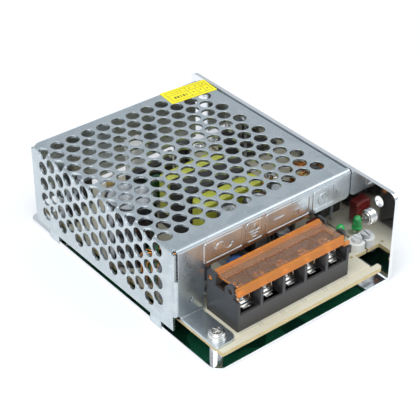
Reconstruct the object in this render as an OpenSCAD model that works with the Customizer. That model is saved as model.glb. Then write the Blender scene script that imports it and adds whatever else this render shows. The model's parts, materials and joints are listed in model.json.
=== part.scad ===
// Open-frame switching power supply in a folded mesh case.
// Origin: middle of the bottom face. Front (terminals) is -Y, right wall is +X, up is +Z.
// Every length is in millimetres.

/* [Case] */
// Length of the base plate, front to back
case_l = 110; // [109:0.5:113]
// Width over the base plate
case_w = 78; // [78:0.5:80]
// Height to the top of the cover
case_h = 36; // [36:0.5:38]
// Thickness of the aluminium chassis
base_t = 1.5; // [1.2:0.1:1.7]
// Outside radius of the chassis fold
base_bend = 2.5; // [2:0.1:3]
// Thickness of the steel cover
cover_t = 1; // [0.8:0.1:1]
// Outside radius of the cover folds
cover_bend = 1.6; // [1.4:0.1:2]

/* [Mesh] */
// Diameter of each vent hole
mesh_d = 5; // [4:0.1:5.2]
// Pitch of the vent holes along a row
mesh_px = 6.55; // [6.3:0.05:6.55]
// Pitch of the rows
mesh_py = 5.147; // [5:0.01:5.2]
// Number of rows front to back
mesh_rows = 14; // [8:1:14]

/* [Board] */
// Height of the underside of the circuit board
board_z = 6.2; // [5.8:0.1:6.4]
// Thickness of the circuit board
board_t = 1.6; // [1.2:0.2:1.6]
// Radius of the round standoffs
standoff_r = 2.4; // [2.2:0.1:2.6]

/* [Mounting] */
// Radius of the tapped mounting holes in the base
tap_r = 1.5; // [1.25:0.25:1.5]
// Spacing of the mounting holes across the base
tap_sx = 60; // [50:1:60]
// Spacing of the mounting holes along the base
tap_sy = 78; // [60:1:80]
// Radius of the clearance holes in the side wall
wall_hole_r = 1.9; // [1.6:0.1:2]
// Height of the holes in the side wall
wall_hole_z = 30; // [28:0.5:30]
// Spacing of the holes in the side wall
wall_hole_sy = 95.4; // [94:0.2:96]

/* [Terminal block] */
// Number of screw terminals
poles = 5; // [5:1:5]
// Pitch of the terminals
pitch = 9.5; // [9.5:0.1:9.6]
// Thickness of the barriers between terminals
barrier_t = 1.25; // [1:0.05:1.4]
// Diameter of a terminal screw head
term_head_d = 5.8; // [5:0.1:6]
// Radius of a terminal screw shank
term_shank_r = 1.7; // [1.5:0.05:1.7]
// Radial play between a screw shank and its plate
shank_play = 0.06; // [0.03:0.01:0.1]
// Radius of the lid's hinge pins
pin_r = 0.9; // [0.8:0.05:0.9]
// Radial play of the hinge pins
pin_play = 0.06; // [0.03:0.01:0.1]

/* [Details] */
// Height of the embossed frames on the front lip
emboss = 0.25; // [0.15:0.05:0.3]
// Diameter of the reservoir capacitor
bulk_d = 18; // [14:0.5:18]
// Height of the reservoir capacitor
bulk_h = 24; // [18:0.5:26]
// Diameter of the output capacitors
out_d = 10; // [8:0.5:10]
// Height of the output capacitors
out_h = 20; // [16:0.5:22]

/* [Hidden] */
$fn = 48;

xl = -case_w/2;              // left face of the case
xr = case_w/2;               // right face of the wall
yf = -case_l/2;              // front edge of the base
yr = case_l/2;               // rear edge of the base
zt = board_z + board_t;      // top of the circuit board
lug_y = yf + 32.15;          // middle of the cover's front lug
lug2_y = yr - 17;            // middle of the cover's rear lug
post = [xl + 5.5, yf + 6.8]; // standoff under the cover's foot
posts = [post, [-33.5, 44.4], [33.4, 44.2], [33.2, 10.6]];
foot_hole_r = 1.7;
wall_screw_y = yf + 11;
wall_screw_z = 22;
// cover outline
cy0 = yf + 21.1;             // front face of the lip
cy1 = yr - 5.8;              // rear face of the rear panel
cxr = xr - 1.7;              // right edge of the cover
cb = cover_bend;
ci = cover_bend - cover_t;
side_z0 = 3.4;               // bottom edge of the side panel
leg_x1 = -27;                // right edge of the front leg
lip_z0 = case_h - 11.4;      // bottom edge of the lip
foot_z = zt;                 // underside of the foot
mesh_x0 = -32.43;
mesh_y0 = 42.1;
mesh_z0 = 29.05;
// terminal block
bx0 = -26.5;
bx1 = bx0 + poles*pitch + 1.2;
by0 = yf + 4.8;
by1 = by0 + 15.8;
cell = [for (i = [0:poles-1]) bx0 + 5.35 + i*pitch];
tb_floor = zt + 6.2;
screw_y = by0 + 6.6;
hinge_y = by1 - 1.7;
hinge_z = zt + 13.9;
lid_x0 = bx0 + 1.4;
lid_x1 = bx1 - 1.9;
// parts of the board
tx = 3.5;     // middle of the transformer
ty = 0.75;
rect_at = -20;
fet_at = 27.4;
disc_at = [-10.3, -29.6];
therm_at = [-7.6, 18.4];
resistors = [[10.6, 19], [10.6, 25], [-13.5, 38], [11.4, 38]];
// electrolytic capacitors: x, y, diameter, height, angle
cans = [[-27.5, 5.4, bulk_d, bulk_h, 15],
    [-3, -18.6, out_d, out_h, -27], [8.5, -18.6, out_d, out_h, 76], [20, -18.6, out_d, out_h, 180],
    [20, 38.5, 6.3, 11, 0], [-22.6, 42, 6.3, 11, 90], [-32.4, 36.6, 8, 11, 0], [11.6, -28.6, 6.3, 11, 0]];
// round holes of the board: x, y, radius
lead_holes = [
    for (i = [0:3]) [-13.3 + 5.08*i, 24.3, 0.6],
    for (t = [rect_at, fet_at], i = [-1:1]) [xr - base_t - 2.95, t + i*2.54, 0.6],
    for (s = [-1, 1]) [disc_at[0] + s*2.5, disc_at[1], 0.45],
    for (s = [-1, 1]) [therm_at[0] + s*3.4, therm_at[1], 0.45],
    for (x = [-4, -0.4]) [x, 37, 0.5],
    for (p = resistors, d = [0, 3.2]) [p[0] + d, p[1], 0.45],
    for (s = [-1, 1]) [xr - 5.6 + s*1.27, yf + 20.4, 0.45],
    for (i = [0:4], s = [-1, 1]) [tx - 10 + 5*i, ty + s*12, 0.5]];

module along_x(x0, x1) translate([x0, 0, 0]) rotate([90, 0, 90]) linear_extrude(x1 - x0) children();
module along_y(y0, y1) translate([0, y1, 0]) rotate([90, 0, 0]) linear_extrude(y1 - y0) children();
module up(z0, z1) translate([0, 0, z0]) linear_extrude(z1 - z0) children();
module box(x0, x1, y0, y1, z0, z1) translate([x0, y0, z0]) cube([x1 - x0, y1 - y0, z1 - z0]);
module rod_x(x0, x1, y, z, r) translate([x0, y, z]) rotate([0, 90, 0]) cylinder(h = x1 - x0, r = r);
module rod_y(x, y0, y1, z, r) translate([x, y1, z]) rotate([90, 0, 0]) cylinder(h = y1 - y0, r = r);
module rod_z(x, y, z0, z1, r) translate([x, y, z0]) cylinder(h = z1 - z0, r = r);
// one quarter of a ring: a is the direction of the quarter's first edge, in degrees
module bend(c, ro, ri, a) translate(c) rotate(a) intersection() {
    difference() { circle(r = ro); if (ri > 0) circle(r = ri); }
    square(ro + 1);
}
// the waste outside a rounded corner: c is the corner, sx and sy point into the sheet
module corner(c, sx, sy, r) translate(c) scale([sx, sy]) difference() {
    translate([-1, -1]) square(r + 1);
    translate([r, r]) circle(r = r);
}
module rrect(x0, x1, y0, y1, r) difference() {
    translate([x0, y0]) square([x1 - x0, y1 - y0]);
    corner([x0, y0], 1, 1, r);
    corner([x1, y0], -1, 1, r);
    corner([x0, y1], 1, -1, r);
    corner([x1, y1], -1, -1, r);
}
module pan_head(r, h) rotate_extrude() intersection() {
    union() {
        square([r, h*0.45]);
        translate([0, h*0.45]) scale(1) square([r*0.72, h*0.55]);
        translate([r*0.72, h*0.45]) circle(r = min(r*0.28, h*0.55));
    }
    square([r, h]);
}
module cross_slot(w, l, d) for (a = [0, 90]) rotate(a) translate([-l/2, -w/2, -d]) cube([l, w, d + 1]);

// ---- sheet metal ----

module chassis_profile() {
    translate([xl, 0]) square([case_w - base_bend, base_t]);
    bend([xr - base_bend, base_bend], base_bend, base_bend - base_t, 270);
    translate([xr - base_t, base_bend]) square([base_t, case_h - base_bend]);
}

module chassis() color("gainsboro") difference() {
    along_y(yf, yr) chassis_profile();
    // rounded corners of the base and of the wall
    up(-1, 5) corner([xl, yf], 1, 1, 4);
    up(-1, 5) corner([xl, yr], 1, -1, 3);
    along_x(xr - 3, xr + 1) corner([yf, case_h], 1, -1, 3);
    along_x(xr - 3, xr + 1) corner([yr, case_h], -1, -1, 3);
    // tapped mounting holes
    for (sx = [-1, 1], sy = [-1, 1]) rod_z(sx*tap_sx/2, sy*tap_sy/2, -1, base_t + 1, tap_r);
    // seats of the standoffs
    for (p = posts) rod_z(p[0], p[1], -1, base_t + 1, 2);
    // notches for the lugs of the cover
    for (y = [lug_y, lug2_y]) box(xl - 1, xl + cover_t + 0.3, y - 3.15, y + 3.15, -1, base_t + 1);
    // clearance holes and tapped holes of the wall
    for (s = [-1, 1]) rod_x(xr - 3, xr + 1, s*wall_hole_sy/2, wall_hole_z, wall_hole_r);
    rod_x(xr - 3, xr + 1, wall_screw_y, wall_screw_z, 1.5);
    for (t = [rect_at, fet_at]) rod_x(xr - 3, xr + 1, t, 24.6, 1.25);
}

// cover: closed section through the top, the left side and the right flange
module cover_section() {
    translate([xl, side_z0]) square([cover_t, case_h - cb - side_z0]);
    bend([xl + cb, case_h - cb], cb, ci, 90);
    translate([xl + cb, case_h - cover_t]) square([cxr - cb - xl - cb, cover_t]);
    bend([cxr - cb, case_h - cb], cb, ci, 0);
    translate([cxr - cover_t, case_h - 5]) square([cover_t, 5 - cb]);
}

module frame2(x0, x1, z0, z1, w) difference() {
    rrect(x0, x1, z0, z1, 1.2);
    rrect(x0 + w, x1 - w, z0 + w, z1 - w, 0.6);
}
// generic marks of the four frames: wave, earth, minus and plus, and a turning mark
module lip_marks() {
    zb = case_h - 36;
    // alternating current wave
    for (s = [-1, 1]) translate([-18.8 + s*1.7, 29.8 + zb]) rotate(s > 0 ? 180 : 0) difference() {
        circle(r = 2.1);
        circle(r = 1.4);
        translate([-3, -3]) square([6, 3]);
    }
    // earth
    translate([-6.3, 30.2 + zb]) square([0.6, 2.4]);
    for (i = [0:2]) translate([-6 - 2.2 + i*0.65, 29.5 - i*1.15 + zb]) square([4.4 - i*1.3, 0.6]);
    // minus and plus
    translate([2.4, 29.7 + zb]) square([4.4, 0.8]);
    translate([11.6, 29.7 + zb]) square([4.4, 0.8]);
    translate([13.4, 27.9 + zb]) square([0.8, 4.4]);
    // turning mark
    translate([24.7, 29.6 + zb]) difference() {
        circle(r = 2.4);
        circle(r = 1.7);
        translate([-0.9, -3]) square([1.8, 2.4]);
    }
    translate([24.35, 29.4 + zb]) square([0.7, 2.2]);
}
module lip_frames() {
    zb = case_h - 36;
    frame2(-27.2, -10.9, 25.8 + zb, 33.9 + zb, 0.6);
    frame2(-9.7, -2.4, 25.8 + zb, 33.9 + zb, 0.6);
    frame2(-1.1, 18.6, 25.8 + zb, 33.9 + zb, 0.6);
    frame2(19.8, 29.8, 25.8 + zb, 33.9 + zb, 0.6);
}

module vent_holes() {
    // top, alternate rows shifted by half a pitch
    for (k = [0:mesh_rows-1]) {
        y = mesh_y0 - k*mesh_py;
        odd = k % 2;
        for (i = [0:(odd ? 10 : 9)])
            rod_z(mesh_x0 + (i - odd*0.5)*mesh_px, y, case_h - 3, case_h + 1, mesh_d/2);
        // left side
        for (j = [0:3])
            rod_x(xl - 1, xl + 3, y, mesh_z0 + (odd ? 3.25 : 0) - j*mesh_px, mesh_d/2);
        // holes that wrap round the left fold
        if (!odd) {
            rod_z(xl + 0.02, y, case_h - cb, case_h + 1, mesh_d/2);
            rod_x(xl - 1, xl + cover_t + 0.1, y, case_h - 0.4, mesh_d/2);
        }
    }
}

module cover() color("lightsteelblue") difference() {
    union() {
        along_y(cy0 + cb, cy1 - cb) cover_section();
        // side panel, past the folds at both ends
        box(xl, xl + cover_t, cy0 + cb - 0.1, cy0 + cb + 1, side_z0, 24);
        box(xl, xl + cover_t, cy0 + 0.4, cy0 + cb + 1, 24, case_h - cb);
        box(xl, xl + cover_t, cy1 - cb - 1, cy1, side_z0, case_h - cb);
        // front fold and lip
        along_x(xl + 1.4, cxr) {
            bend([cy0 + cb, case_h - cb], cb, ci, 90);
            translate([cy0, lip_z0]) square([cover_t, case_h - cb - lip_z0]);
        }
        // leg, corner fold to the side panel, foot
        box(xl + cb, leg_x1, cy0, cy0 + cover_t, foot_z + cb, lip_z0 + 0.5);
        up(foot_z + cb, 24) bend([xl + cb, cy0 + cb], cb, ci, 180);
        along_x(xl + 2.1, leg_x1 - 1.4) {
            bend([cy0 - ci, foot_z + cb], cb, ci, 270);
            translate([yf + 2.4, foot_z]) square([cy0 - ci - yf - 2.4, cover_t]);
        }
        along_x(leg_x1 - 1.4, leg_x1) bend([cy0 - ci, foot_z + cb], cb, ci, 270);
        // rear fold and rear panel
        along_x(xl + 2, xr - 4.6) {
            bend([cy1 - cb, case_h - cb], cb, ci, 0);
            translate([cy1 - cover_t, 11]) square([cover_t, case_h - cb - 11]);
        }
        // lugs
        box(xl, xl + cover_t, lug_y - 2.95, lug_y + 2.95, 0.2, side_z0 + 0.5);
        box(xl, xl + cover_t, lug2_y - 2.95, lug2_y + 2.95, 0.2, side_z0 + 0.5);
        // raised frames and marks on the lip
        along_y(cy0 - emboss, cy0 + 0.1) lip_frames();
        along_y(cy0 - emboss, cy0 + 0.1) lip_marks();
    }
    // the back of each raised frame
    along_y(cy0 + cover_t - emboss, cy0 + cover_t + 1) lip_frames();
    // rounded corners
    along_y(cy0 - 1, cy0 + cover_t + 1) corner([cxr, lip_z0], -1, 1, 2);
    up(foot_z - 1, foot_z + cover_t + 1) corner([leg_x1 - 1.4, yf + 2.4], -1, 1, 3);
    up(foot_z - 1, foot_z + cover_t + 1) corner([xl + 2.1, yf + 2.4], 1, 1, 1);
    along_x(xl - 1, xl + cover_t + 1) corner([cy1, side_z0], -1, 1, 1.2);
    // screw hole of the foot, witness hole of the leg
    rod_z(post[0], post[1], foot_z - 1, foot_z + cover_t + 1, foot_hole_r);
    rod_y(xl + 6.4, cy0 - 1, cy0 + cover_t + 1, 14.6, 0.75);
    vent_holes();
}

module standoff() difference() {
    union() {
        cylinder(h = board_z - base_t, r = standoff_r);
        translate([0, 0, -base_t]) cylinder(h = base_t + 0.1, r = 1.98);
    }
    translate([0, 0, -base_t - 1]) cylinder(h = board_z + 3, r = 1.25);
}
module standoffs() color("silver") for (p = posts) translate([p[0], p[1], base_t]) standoff();

module cover_washer() color("silver") difference() {
    rod_z(post[0], post[1], foot_z + cover_t, foot_z + cover_t + 0.5, 3.2);
    rod_z(post[0], post[1], foot_z, foot_z + 3, 1.6);
}
module machine_screw(head_r, head_h, shank_r, len, slot) difference() {
    union() {
        pan_head(head_r, head_h);
        translate([0, 0, -len]) cylinder(h = len + 0.2, r = shank_r);
    }
    translate([0, 0, head_h]) cross_slot(slot, head_r*1.15, head_h*0.6);
}
module cover_screw() color("silver") translate([post[0], post[1], foot_z + cover_t + 0.5]) rotate(20)
    machine_screw(2.9, 2, 1.2, cover_t + board_t + 5, 0.75);
module board_screws() color("silver") for (i = [1:3])
    translate([posts[i][0], posts[i][1], zt]) rotate(25*i) machine_screw(2.6, 1.8, 1.2, board_t + 4, 0.7);
module wall_screw() color("silver") translate([xr - base_t, wall_screw_y, wall_screw_z]) rotate([0, -90, 0])
    rotate(30) machine_screw(2.75, 2, 1.45, base_t, 0.7);

// ---- board ----

module circuit_board() color("wheat") difference() {
    union() {
        up(board_z, zt) difference() {
            rrect(xl + 2.5, xr - 1.8, yf + 0.2, yr - 7.4, 0.6);
            // notch at the front right corner
            translate([xr - 7.4, yf + 3.2]) square([10, 7.6]);
            translate([xr - 4.4, yf - 1]) square([10, 6]);
            corner([xr - 4.4, yf + 0.2], -1, 1, 1.5);
        }
    }
    // scored line of the break-away rail, above and below
    along_x(xl, xr) translate([yf + 3.2, zt]) polygon([[-0.45, 0.1], [0.45, 0.1], [0, -0.5]]);
    along_x(xl, xr) translate([yf + 3.2, board_z]) polygon([[-0.45, -0.1], [0.45, -0.1], [0, 0.5]]);
    for (p = posts) rod_z(p[0], p[1], board_z - 1, zt + 1, 1.6);
    // tooling hole by the notch
    rod_z(xr - 9, yf + 11, board_z - 1, zt + 1, 0.55);
    // slots for the tails of the terminals
    for (x = cell) box(x - 1.6, x + 1.6, by1 - 4.2, by1 - 3.1, board_z - 1, zt + 1);
    // holes for the leads
    for (q = lead_holes) rod_z(q[0], q[1], board_z - 1, zt + 1, q[2]);
    for (c = cans) translate([c[0], c[1], 0]) rotate(c[4]) for (s = [-1, 1])
        rod_z(s*c[2]*0.22, 0, board_z - 1, zt + 1, 0.45);
}

// ---- terminal block ----

module end_outline() polygon([[by1, zt], [by1, zt + 15.2], [by1 - 0.8, zt + 16.8], [by1 - 4.6, zt + 16.8],
    [by1 - 4.6, zt + 12.5], [by1 - 9, zt + 12.5], [by1 - 9, zt + 14.7], [by1 - 11.1, zt + 17],
    [by1 - 13.1, zt + 17], [by1 - 13.6, zt + 16.2], [by1 - 13.6, zt + 14.1], [by1 - 13.4, zt + 13.8],
    [by1 - 13.4, zt + 11.9], [by0, zt + 11.6], [by0, zt]]);
module barrier_outline() polygon([[by1 - 3.9, zt], [by1 - 3.9, zt + 14.4], [by0 + 1.7, zt + 14.4],
    [by0 + 1.7, zt + 13.1], [by0, zt + 13.1], [by0, zt]]);

module terminal_block() color([0.12, 0.12, 0.13]) difference() {
    union() {
        box(bx0, bx1, by0, by1, zt, tb_floor);
        box(bx0, bx1, by0, by0 + 1, zt, tb_floor + 0.3);
        box(bx0, bx1, by1 - 4, by1, zt, zt + 12);
        along_x(bx0, bx0 + 1.1) end_outline();
        along_x(bx1 - 1.1, bx1) end_outline();
        for (i = [0:poles-2]) {
            x = (cell[i] + cell[i+1])/2;
            along_x(x - barrier_t/2, x + barrier_t/2) barrier_outline();
        }
        // locating rib on the right face
        box(bx1 - 0.1, bx1 + 1.1, by0 + 0.1, by0 + 0.9, zt + 8.7, zt + 11.8);
    }
    // bearings of the lid, and the empty front holes
    for (x = [bx0 - 1, bx1 - 2]) {
        rod_x(x, x + 3, hinge_y, hinge_z, pin_r + pin_play);
        rod_x(x, x + 3, by0 + 4, zt + 14.2, 0.95);
    }
    for (x = cell) {
        // well for the threaded collar, slot for the tail
        rod_z(x, screw_y, zt + 3.4, tb_floor + 1, 2.75);
        rod_z(x, screw_y, zt + 0.5, tb_floor + 1, term_shank_r + 0.3);
        // pocket in front of the plate
        box(x - 3.9, x + 3.9, by0 + 1, by0 + 3.1, zt + 4.6, tb_floor + 1);
        box(x - 1.75, x + 1.75, by1 - 4.25, by1 - 3.05, zt - 1, tb_floor + 1);
        box(x - 3.5, x + 3.5, by1 - 4.3, by1 - 3.05, tb_floor - 0.02, tb_floor + 0.95);
        // relief behind each pole
        box(x - 2.6, x + 2.6, by1 - 1.4, by1 + 1, zt + 1.6, zt + 9.4);
    }
}

module terminal_plate() difference() {
    union() {
        box(-2.7, 2.7, by0 + 2.75, by1 - 3.15, tb_floor, tb_floor + 0.9);
        // tongue with a bent-down end
        box(-1.45, 1.45, by0 + 1.7, by0 + 2.85, tb_floor, tb_floor + 0.9);
        box(-1.45, 1.45, by0 + 1.7, by0 + 2.3, tb_floor - 0.9, tb_floor + 0.1);
        rod_z(0, screw_y, tb_floor - 2.5, tb_floor + 0.1, 2.6);
        box(-1.45, 1.45, by1 - 4.1, by1 - 3.2, board_z - 1.2, tb_floor + 0.1);
    }
    rod_z(0, screw_y, tb_floor - 4, tb_floor + 2, term_shank_r + shank_play);
}
module terminal_plates() color("silver") for (x = cell) translate([x, 0, 0]) terminal_plate();

module clamp(n) color("lightgray") translate([cell[n-1], 0, 0]) difference() {
    union() {
        box(-3, 3, screw_y - 3.1, screw_y + 2.6, tb_floor + 1.4, tb_floor + 2.4);
        // turned-down edges that hold the wire
        box(-3, 3, screw_y - 3.1, screw_y - 2.5, tb_floor + 1.2, tb_floor + 1.5);
        box(-3, 3, screw_y + 2.0, screw_y + 2.6, tb_floor + 1.2, tb_floor + 1.5);
        // raised corners
        for (s = [-1, 1]) box(s > 0 ? 2.95 : -3.35, s > 0 ? 3.35 : -2.95, screw_y - 2.3, screw_y + 2.6, tb_floor + 1.4, tb_floor + 3);
    }
    rod_z(0, screw_y, tb_floor, tb_floor + 4, term_shank_r + 0.2);
}
module clamp_1() clamp(1);
module clamp_2() clamp(2);
module clamp_3() clamp(3);
module clamp_4() clamp(4);
module clamp_5() clamp(5);

module terminal_screw(n) color("silver") translate([cell[n-1], screw_y, tb_floor + 2.5]) rotate(37*n)
difference() {
    union() {
        pan_head(term_head_d/2, 3.3);
        translate([0, 0, -7.4]) cylinder(h = 7.5, r = term_shank_r);
        translate([0, 0, -7.9]) cylinder(h = 0.6, r1 = term_shank_r - 0.5, r2 = term_shank_r);
    }
    // combined slot and cross recess
    translate([0, 0, 3.3]) cross_slot(0.85, 3.4, 1.7);
    translate([-4, -0.42, 2.4]) cube([8, 0.84, 2]);
}
module terminal_screw_1() terminal_screw(1);
module terminal_screw_2() terminal_screw(2);
module terminal_screw_3() terminal_screw(3);
module terminal_screw_4() terminal_screw(4);
module terminal_screw_5() terminal_screw(5);

module terminal_lid() color([0.95, 0.45, 0.1, 0.75]) difference() {
    union() {
        // panel, with the sloping strip and the flange behind it
        along_x(lid_x0, lid_x1) polygon([
            [hinge_y - 0.4, hinge_z + 0.3], [hinge_y - 0.4, hinge_z + 2.8], [hinge_y - 1.1, hinge_z + 2.8],
            [hinge_y - 3.3, hinge_z + 2], [by0 + 1.8, hinge_z + 2.6], [by0 + 1.8, hinge_z + 1.7],
            [hinge_y - 3.3, hinge_z + 1.1], [hinge_y - 1.2, hinge_z + 1.8], [hinge_y - 1.2, hinge_z + 0.3]]);
        // skirt over the front, wider than the panel
        along_x(bx0 + 0.2, lid_x1) polygon([[by0 + 1.85, hinge_z + 2.6], [by0 + 1, hinge_z + 2.7],
            [by0 + 0.3, hinge_z - 0.3], [by0 + 1, hinge_z - 0.3], [by0 + 1.5, hinge_z + 1.7], [by0 + 1.85, hinge_z + 1.7]]);
        // finger tab at the right end
        box(lid_x1 - 0.5, bx1 + 0.4, by0 + 0.4, by0 + 1.1, hinge_z - 1.4, hinge_z - 0.1);
        box(lid_x1 - 0.5, lid_x1, by0 + 0.4, by0 + 1.1, hinge_z - 1.4, hinge_z + 0.6);
        // knuckles and pins
        rod_x(lid_x0, lid_x0 + 1.6, hinge_y, hinge_z, 1.25);
        rod_x(lid_x1 - 1.6, lid_x1, hinge_y, hinge_z, 1.25);
        rod_x(bx0 + 0.1, lid_x0 + 0.1, hinge_y, hinge_z, pin_r);
        rod_x(lid_x1 - 0.1, bx1 - 0.1, hinge_y, hinge_z, pin_r);
    }
    // shallow window in the panel
    along_x(lid_x0 + 0.4, lid_x1 - 2.3) polygon([[hinge_y - 5.6, hinge_z + 4], [hinge_y - 5.6, hinge_z + 1.86],
        [by0 + 2.7, hinge_z + 2.24], [by0 + 2.7, hinge_z + 4]]);
}

// ---- front controls ----

module indicator_lamp() color("limegreen") translate([xr - 5.6, yf + 20.4, zt + 2]) {
    cylinder(h = 0.9, r = 1.9);
    cylinder(h = 3.7, r = 1.5);
    translate([0, 0, 3.7]) sphere(r = 1.5);
}
module lamp_leads() color("silver") for (s = [-1, 1])
    box(xr - 5.6 + s*1.27 - 0.25, xr - 5.6 + s*1.27 + 0.25, yf + 20.15, yf + 20.65, board_z - 1, zt + 2);

module trimmer_body() color("white") difference() {
    rod_z(xr - 3.8, yf + 14, zt, zt + 3, 3.1);
    box(xr - 1.8, xr, yf, yf + 20, zt - 1, zt + 4);
    rod_z(xr - 3.8, yf + 14, zt + 1.2, zt + 4, 0.95);
}
module trimmer_rotor() color("whitesmoke") difference() {
    union() {
        rod_z(xr - 3.8, yf + 14, zt + 3.1, zt + 4.6, 1.9);
        rod_z(xr - 3.8, yf + 14, zt + 1.4, zt + 3.2, 0.9);
    }
    translate([xr - 3.8, yf + 14, zt + 4.6]) rotate(8) translate([-0.3, -3, -0.7]) cube([0.6, 6, 2]);
}

module rating_label() color("gold") translate([27, 43.1, case_h]) rotate(-5) linear_extrude(0.12)
    rrect(-10, 10, -4.6, 4.6, 0.4);

// ---- magnetics ----

module transformer_core() color([0.16, 0.16, 0.17]) difference() {
    box(tx - 14, tx + 14, ty - 5.25, ty + 5.25, zt + 2.4, zt + 23);
    for (s = [-1, 1]) box(s > 0 ? tx + 3.9 : tx - 9.8, s > 0 ? tx + 9.8 : tx - 3.9, ty - 6, ty + 6, zt + 5.8, zt + 19.6);
}
module transformer_bobbin() color([0.2, 0.2, 0.2]) {
    // pin rails
    box(tx - 12.5, tx + 12.5, ty + 5.6, ty + 14, zt, zt + 5.6);
    box(tx - 12.5, tx + 12.5, ty - 14, ty - 5.6, zt, zt + 5.6);
    for (s = [-1, 1]) {
        // arms through the windows, carrying the tube round the middle leg
        box(s > 0 ? tx + 4.0 : tx - 9.6, s > 0 ? tx + 9.6 : tx - 4.0, ty - 6, ty + 6, zt + 5.9, zt + 6.6);
        box(s > 0 ? tx + 4.0 : tx - 9.6, s > 0 ? tx + 9.6 : tx - 4.0, ty - 12, ty - 5.5, zt + 5.5, zt + 6.6);
        box(s > 0 ? tx + 4.0 : tx - 9.6, s > 0 ? tx + 9.6 : tx - 4.0, ty + 5.5, ty + 12, zt + 5.5, zt + 6.6);
        box(s > 0 ? tx + 4.0 : tx - 4.7, s > 0 ? tx + 4.7 : tx - 4.0, ty - 6, ty + 6, zt + 5.9, zt + 19.4);
    }
    // pins
    for (i = [0:4], s = [-1, 1]) rod_z(tx - 10 + 5*i, ty + s*12, board_z - 1, zt + 0.2, 0.4);
}
module transformer_winding() color([0.85, 0.85, 0.25]) difference() {
    union() {
        box(tx - 9.5, tx + 9.5, ty - 12, ty + 12, zt + 6.7, zt + 19.3);
        up(zt + 6.7, zt + 21) rrect(tx - 13.7, tx + 13.7, ty - 12.8, ty - 5.5, 2.5);
        up(zt + 6.7, zt + 21) rrect(tx - 13.7, tx + 13.7, ty + 5.5, ty + 13.2, 2.5);
    }
    box(tx - 4.8, tx + 4.8, ty - 6.1, ty + 6.1, zt, zt + 30);
}

module ring(r_out, r_in, h) rotate_extrude() translate([r_in, 0]) square([r_out - r_in, h]);
// wire turns round part of a ring core
module turns(n, a0, a1, rm, rw, h, d) for (i = [0:n-1]) rotate(a0 + (a1 - a0)*i/(n - 1)) translate([rm, 0, 0])
    difference() {
        translate([-rw - d, -d/2, -d]) cube([2*rw + 2*d, d, h + 2*d]);
        translate([-rw - 0.12, -d, -0.05]) cube([2*rw + 0.18, 2*d, h + 0.1]);
    }
line_choke = [-27.6, -11.7];
module line_choke_core() color("darkolivegreen") translate([line_choke[0], line_choke[1], zt + 1.4]) ring(6.4, 3.4, 8);
module line_choke_winding() color("peru") translate([line_choke[0], line_choke[1], zt + 1.4]) {
    turns(8, -62, 62, 4.9, 1.5, 8, 0.9);
    turns(8, 118, 242, 4.9, 1.5, 8, 0.9);
}
out_choke = [27, -3.4];
module output_choke_core() color("khaki") translate([out_choke[0], out_choke[1], zt + 1.5]) ring(6.8, 3.6, 7.5);
module output_choke_winding() color("chocolate") translate([out_choke[0], out_choke[1], zt + 1.5])
    turns(15, 15, 345, 5.2, 1.6, 7.5, 1.1);

// ---- capacitors ----

// can with a crimped neck and a scored top
module can(d, h) {
    difference() {
        rotate_extrude() polygon([[0, 0], [d/2 - 0.6, 0], [d/2, 0.6], [d/2, 2], [d/2 - 0.45, 2.5], [d/2, 3],
            [d/2, h - 0.6], [d/2 - 0.6, h], [d/2 - 1.1, h], [d/2 - 1.4, h - 0.3], [0, h - 0.3]]);
        for (a = [0, 60, 120]) rotate(a) translate([-d*0.3, -0.12, h - 0.45]) cube([d*0.6, 0.24, 1]);
    }
    for (s = [-1, 1]) translate([s*d*0.22, 0, -board_t - 0.6]) cylinder(h = board_t + 0.7, r = 0.35);
}
module can_at(i) translate([cans[i][0], cans[i][1], zt]) rotate(cans[i][4]) can(cans[i][2], cans[i][3]);
module bulk_capacitor() color([0.15, 0.15, 0.17]) can_at(0);
module output_capacitors() color([0.17, 0.17, 0.2]) for (i = [1:3]) can_at(i);
module small_capacitors() color([0.15, 0.2, 0.35]) for (i = [4:7]) can_at(i);
module x_capacitor() color("lightslategray") up(zt, zt + 13.5) rrect(-35.4, -17.6, -26.2, -19.8, 0.8);
module film_capacitor() color("darkred") difference() {
    up(zt, zt + 9) rrect(23.4, 30.4, -31.4, -27, 0.8);
    box(22, 32, -32, -26.5, zt - 1, zt + 0.4);
    for (s = [-1, 1]) box(26.9 + s*2.5 - 1.5, 26.9 + s*2.5 + 1.5, -32, -26, zt + 9.6, zt + 12);
}
module disc(r, t) {
    rotate([90, 0, 0]) translate([0, 0, -t/2]) cylinder(h = t, r = r - 0.6);
    rotate([90, 0, 0]) translate([0, 0, -t/2 + 0.6]) cylinder(h = t - 1.2, r = r);
}
module leads(dx, h) for (s = [-1, 1]) translate([s*dx, 0, 0]) cylinder(h = h, r = 0.35);
module disc_capacitor() color("royalblue") translate([disc_at[0], disc_at[1], 0]) {
    translate([0, 0, zt + 6.8]) disc(4.2, 3.2);
    translate([0, 0, board_z - 0.6]) leads(2.5, board_t + 5);
}
module thermistor() color("darkgreen") translate([therm_at[0], therm_at[1], 0]) {
    translate([0, 0, zt + 12]) disc(5.4, 4);
    translate([0, 0, board_z - 0.6]) leads(3.4, board_t + 10);
}

// ---- semiconductors ----

module bridge_rectifier() color([0.13, 0.13, 0.13]) {
    difference() {
        box(-15, 3.6, 22.6, 26.2, zt + 3, zt + 18);
        translate([-15, 22, zt + 18]) rotate([0, 45, 0]) cube([3, 6, 3], center = true);
        rod_y(-5.7, 20, 30, zt + 13.5, 1.6);
    }
    for (i = [0:3]) box(-13.7 + 5.08*i, -12.9 + 5.08*i, 24, 24.6, board_z - 0.6, zt + 3.1);
}
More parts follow.
